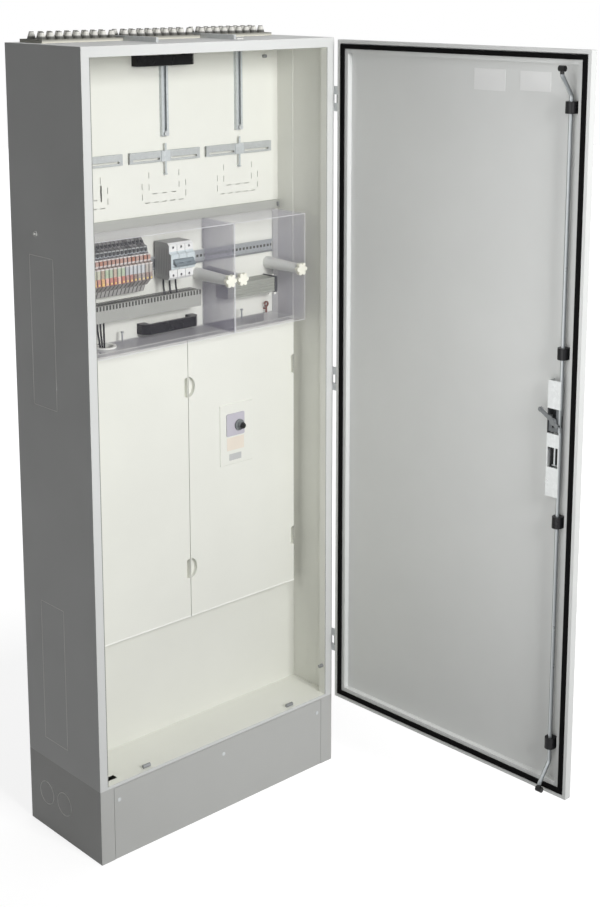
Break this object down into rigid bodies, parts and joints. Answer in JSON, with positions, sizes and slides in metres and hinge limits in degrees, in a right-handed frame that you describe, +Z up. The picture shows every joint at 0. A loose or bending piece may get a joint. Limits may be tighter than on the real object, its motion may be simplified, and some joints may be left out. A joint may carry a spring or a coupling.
{
  "type": "electricity meter cabinet",
  "caption": "Floor-standing electricity meter cabinet with a plinth, a hinged door shown open, meter places, a terminal row under clear covers and lift-out plates.",
  "frame": {"origin": "on the floor, under the middle of the cabinet", "axes": "+Z up, -Y towards the front of the cabinet, +X to the right seen from the front"},
  "size_m": [0.8698, 1.1329, 2.076],
  "materials": {
    "steel": "light grey textured powder coat",
    "plinth_steel": "grey powder coat",
    "inner_steel": "smooth cream-white powder coat",
    "zinc": "bright zinc plate",
    "black_plastic": "matt black",
    "gasket": "black foam",
    "clear": "clear moulded plastic",
    "grey_plastic": "grey",
    "duct_plastic": "light grey",
    "cream_plastic": "cream",
    "white_plastic": "white",
    "terminal_plastic": "mixed grey and coloured levels",
    "switch_plastic": "lilac grey"
  },
  "bodies": {
    "cabinet": {"back_plate": "inner_steel", "breaker_body": "grey_plastic", "cable_grommet": "white_plastic", "centre_strips": "zinc", "cover_left": "clear", "cover_plate_left": "inner_steel", "cover_plate_right": "inner_steel", "cover_posts": "cream_plastic", "cover_right": "clear", "cross_rail": "inner_steel", "crossbars": "zinc", "din_rail": "zinc", "end_clamp": "cream_plastic", "entry_clamps": "zinc", "entry_plates": "cream_plastic", "floor_plate": "inner_steel", "frame_hinges": "zinc", "front_frame": "steel", "left_wall": "steel", "meter_panel": "inner_steel", "meter_rails": "zinc", "mounting_rails": "inner_steel", "plinth_frame": "plinth_steel", "plinth_panel": "steel", "plinth_screws": "zinc", "pull_handles": "black_plastic", "rear_wall": "steel", "right_wall": "steel", "roof": "steel", "side_plug": "black_plastic", "small_fittings": "zinc", "switch_escutcheon": "switch_plastic", "switch_plate": "white_plastic", "terminal_blocks": "terminal_plastic", "terminal_panel": "inner_steel", "trunk_cover": "duct_plastic", "trunk_end": "black_plastic", "wires": "black_plastic", "wiring_duct": "duct_plastic"},
    "door": {"door_panel": "steel", "door_stiffener": "steel", "door_gasket": "gasket", "door_hinges": "zinc", "lock_cover": "zinc", "lock_case": "black_plastic", "handle_dish": "steel", "rod_guides": "black_plastic"},
    "lock": {"lock_cam": "zinc", "door_handle": "steel"},
    "upper_rod": {"upper_rod": "zinc"},
    "lower_rod": {"lower_rod": "zinc"},
    "toggle": {"breaker_toggle": "black_plastic"},
    "switch_knob": {"switch_knob": "black_plastic"},
    "knob_1": {"thumb_knob_1": "white_plastic"},
    "knob_2": {"thumb_knob_2": "white_plastic"},
    "knob_3": {"thumb_knob_3": "white_plastic"},
    "knob_4": {"thumb_knob_4": "white_plastic"},
    "hook_1": {"meter_hook_1": "zinc"},
    "hook_2": {"meter_hook_2": "zinc"},
    "hook_3": {"meter_hook_3": "zinc"}
  },
  "joints": [
    {"name": "door_hinge", "type": "hinge", "parent": "cabinet", "child": "door", "pos_m": [0.404, -0.172, 1.128], "axis": [0, 0, 1], "range_deg": [-92, 88]},
    {"name": "lock_turn", "type": "hinge", "parent": "door", "child": "lock", "pos_m": [0.42958, -0.90455, 1.165], "axis": [-0.9994, -0.0349, 0], "range_deg": [0, 90]},
    {"name": "upper_rod_slide", "type": "slide", "parent": "door", "child": "upper_rod", "axis": [0, 0, 1], "range_m": [0, 0.02]},
    {"name": "lower_rod_slide", "type": "slide", "parent": "door", "child": "lower_rod", "axis": [0, 0, -1], "range_m": [0, 0.02]},
    {"name": "breaker_toggle_tilt", "type": "hinge", "parent": "cabinet", "child": "toggle", "pos_m": [-0.001, -0.018, 1.4855], "axis": [-1, 0, 0], "range_deg": [0, 70]},
    {"name": "switch_turn", "type": "hinge", "parent": "cabinet", "child": "switch_knob", "pos_m": [0.168, -0.0364, 1.017], "axis": [0, 1, 0], "range_deg": [0, 90]},
    {"name": "thumb_knob_1_turn", "type": "hinge", "parent": "cabinet", "child": "knob_1", "pos_m": [-0.355, -0.075, 1.427], "axis": [0, -1, 0], "continuous": true},
    {"name": "thumb_knob_2_turn", "type": "hinge", "parent": "cabinet", "child": "knob_2", "pos_m": [0.1045, -0.075, 1.427], "axis": [0, -1, 0], "continuous": true},
    {"name": "thumb_knob_3_turn", "type": "hinge", "parent": "cabinet", "child": "knob_3", "pos_m": [0.1455, -0.075, 1.427], "axis": [0, -1, 0], "continuous": true},
    {"name": "thumb_knob_4_turn", "type": "hinge", "parent": "cabinet", "child": "knob_4", "pos_m": [0.355, -0.075, 1.427], "axis": [0, -1, 0], "continuous": true},
    {"name": "meter_hook_1_slide", "type": "slide", "parent": "cabinet", "child": "hook_1", "axis": [0, 0, 1], "range_m": [0, 0.2]},
    {"name": "meter_hook_2_slide", "type": "slide", "parent": "cabinet", "child": "hook_2", "axis": [0, 0, 1], "range_m": [0, 0.2]},
    {"name": "meter_hook_3_slide", "type": "slide", "parent": "cabinet", "child": "hook_3", "axis": [0, 0, 1], "range_m": [0, 0.2]}
  ],
  "couplings": [
    {"joint": "upper_rod_slide", "follows": "lock_turn", "m_per_rad": 0.01273},
    {"joint": "lower_rod_slide", "follows": "lock_turn", "m_per_rad": 0.01273}
  ]
}
